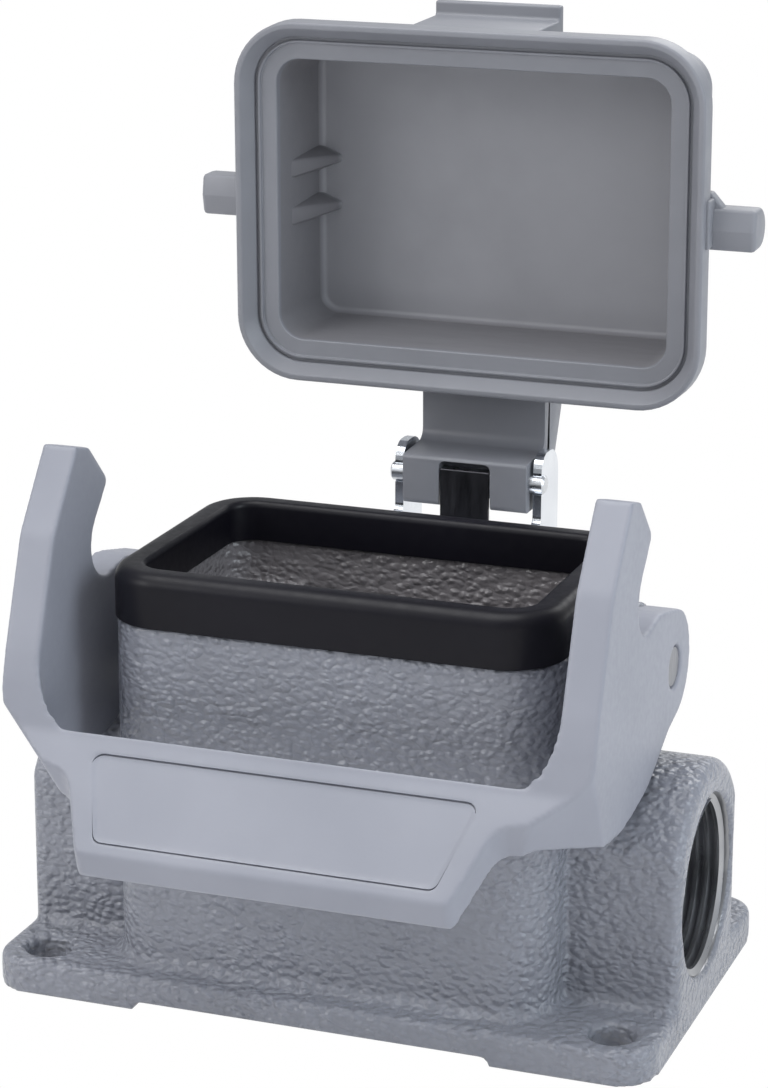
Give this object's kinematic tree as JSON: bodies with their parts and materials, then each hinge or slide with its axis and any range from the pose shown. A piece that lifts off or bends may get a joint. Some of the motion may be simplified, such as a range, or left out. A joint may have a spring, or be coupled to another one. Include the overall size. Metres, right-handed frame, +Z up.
{
  "type": "heavy duty rectangular connector",
  "caption": "Surface mounting housing of a heavy duty rectangular connector, with a rubber collar seal, a swinging locking lever, a hinged protective cover and a side cable entry",
  "frame": {"origin": "centre of the base's mounting face, at the middle of the fixing hole pattern", "axes": "+Z up and out of the opening, +X along the long side towards the cable entry, lever plate on the -Y side, cover hinge on the +Y side"},
  "size_m": [0.0944, 0.0994, 0.1291],
  "materials": {
    "die_cast_paint": "hammered grey paint on a die-cast aluminium alloy",
    "seal_rubber": "smooth near-black rubber with a soft sheen",
    "lever_finish": "fine-grained light blue-grey plastic",
    "pin_steel": "bright turned steel",
    "cover_plastic": "mid-grey moulded plastic with flow marks",
    "zinc_sheet": "bright zinc-plated sheet steel",
    "spring_steel": "dark tempered spring steel"
  },
  "bodies": {
    "base": {"housing": "die_cast_paint", "collar_seal": "seal_rubber", "lever_pins": "pin_steel", "hinge_pin": "pin_steel", "hinge_bracket": "zinc_sheet", "detent_spring": "spring_steel", "bracket_rivets": "pin_steel", "spring_rivet": "pin_steel"},
    "lever": {"locking_lever": "lever_finish"},
    "lid": {"cover": "cover_plastic"}
  },
  "joints": [
    {"name": "lever_swing", "type": "hinge", "parent": "base", "child": "lever", "pos_m": [0, 0.0025, 0.0474], "axis": [-1, 0, 0], "range_deg": [0, 27]},
    {"name": "cover_hinge", "type": "hinge", "parent": "base", "child": "lid", "pos_m": [0, 0.0364, 0.0612], "axis": [1, 0, 0], "range_deg": [0, 89]}
  ]
}
